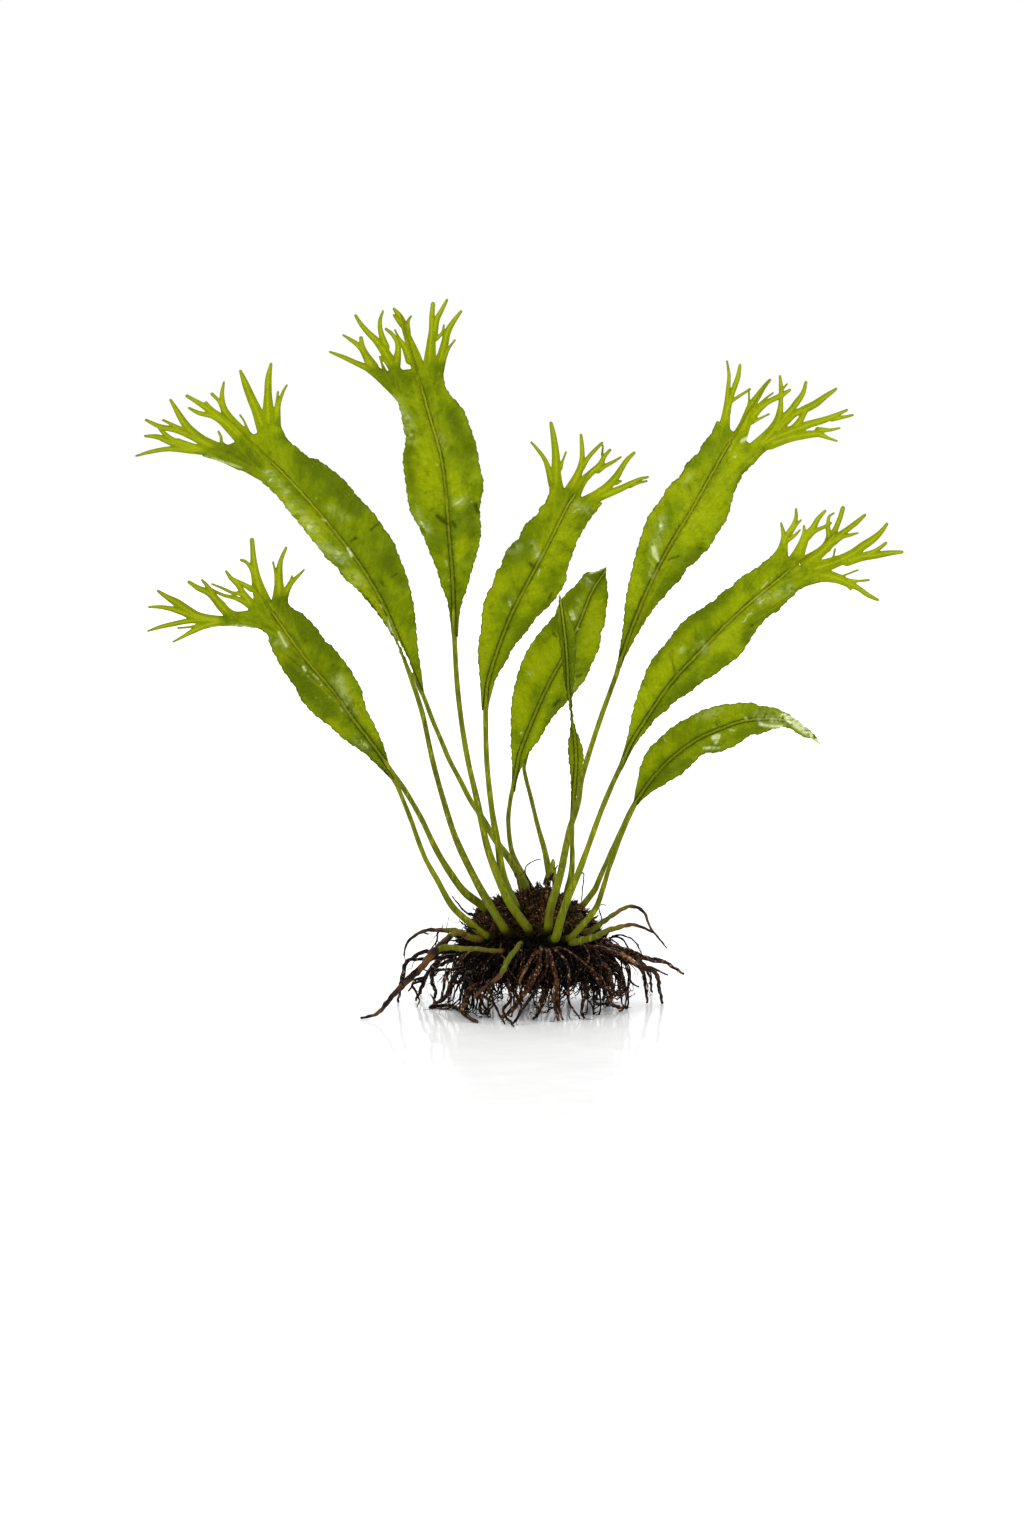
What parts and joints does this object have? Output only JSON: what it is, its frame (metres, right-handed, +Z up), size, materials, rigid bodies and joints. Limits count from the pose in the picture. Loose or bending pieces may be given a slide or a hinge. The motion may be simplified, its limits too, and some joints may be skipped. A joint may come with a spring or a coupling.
{
  "type": "java fern",
  "caption": "Water fern with lance-shaped fronds whose tips fork into antler-like crests, on a scaly rhizome that stands on its own roots.",
  "frame": {"origin": "centre of the root mat's flat underside, on the floor below the rhizome", "axes": "+Z up, +X along the fan of fronds to the right, -Y towards the viewer"},
  "size_m": [0.1903, 0.0914, 0.1773],
  "materials": {
    "blade_green": "wet, softly glossy leaf with bright veins",
    "stipe_green": "smooth olive green stalk",
    "young_green": "fresh light green shoot",
    "old_stub": "old stalk, green turning dark brown",
    "rhizome_bark": "dark brown scales, damp",
    "main_root": "brown wiry root, damp",
    "root_felt": "dark felt of fine roots"
  },
  "bodies": {
    "root": {"blade_high_left": "blade_green", "stipe_high_left": "stipe_green", "blade_high_left_young": "blade_green", "stipe_high_left_young": "stipe_green", "blade_low_left": "blade_green", "stipe_low_left": "stipe_green", "blade_low_left_young": "blade_green", "stipe_low_left_young": "stipe_green", "blade_top": "blade_green", "stipe_top": "stipe_green", "blade_middle": "blade_green", "stipe_middle": "stipe_green", "blade_middle_plain": "blade_green", "stipe_middle_plain": "stipe_green", "blade_middle_young": "blade_green", "stipe_middle_young": "stipe_green", "blade_twisted": "blade_green", "stipe_twisted": "stipe_green", "blade_high_right": "blade_green", "stipe_high_right": "stipe_green", "blade_low_right": "blade_green", "stipe_low_right": "stipe_green", "blade_low_right_plain": "blade_green", "stipe_low_right_plain": "stipe_green", "blade_low_right_young": "blade_green", "stipe_low_right_young": "stipe_green", "rhizome": "rhizome_bark", "root_mat": "root_felt", "stub_left_upper": "old_stub", "stub_left_long": "old_stub", "stub_front": "old_stub", "stub_right_upper": "old_stub", "stub_right_lower": "old_stub", "stub_short": "old_stub", "young_shoot": "young_green", "root_01": "main_root", "root_02": "main_root", "root_03": "main_root", "root_04": "main_root", "root_05": "main_root", "root_06": "main_root", "root_07": "main_root", "root_08": "main_root", "root_09": "main_root", "root_10": "main_root", "root_11": "main_root", "root_12": "main_root", "root_13": "main_root", "root_14": "main_root", "root_15": "main_root", "root_16": "main_root", "root_17": "main_root", "root_18": "main_root", "root_19": "main_root", "root_20": "main_root", "root_21": "main_root", "root_22": "main_root"}
  },
  "joints": []
}
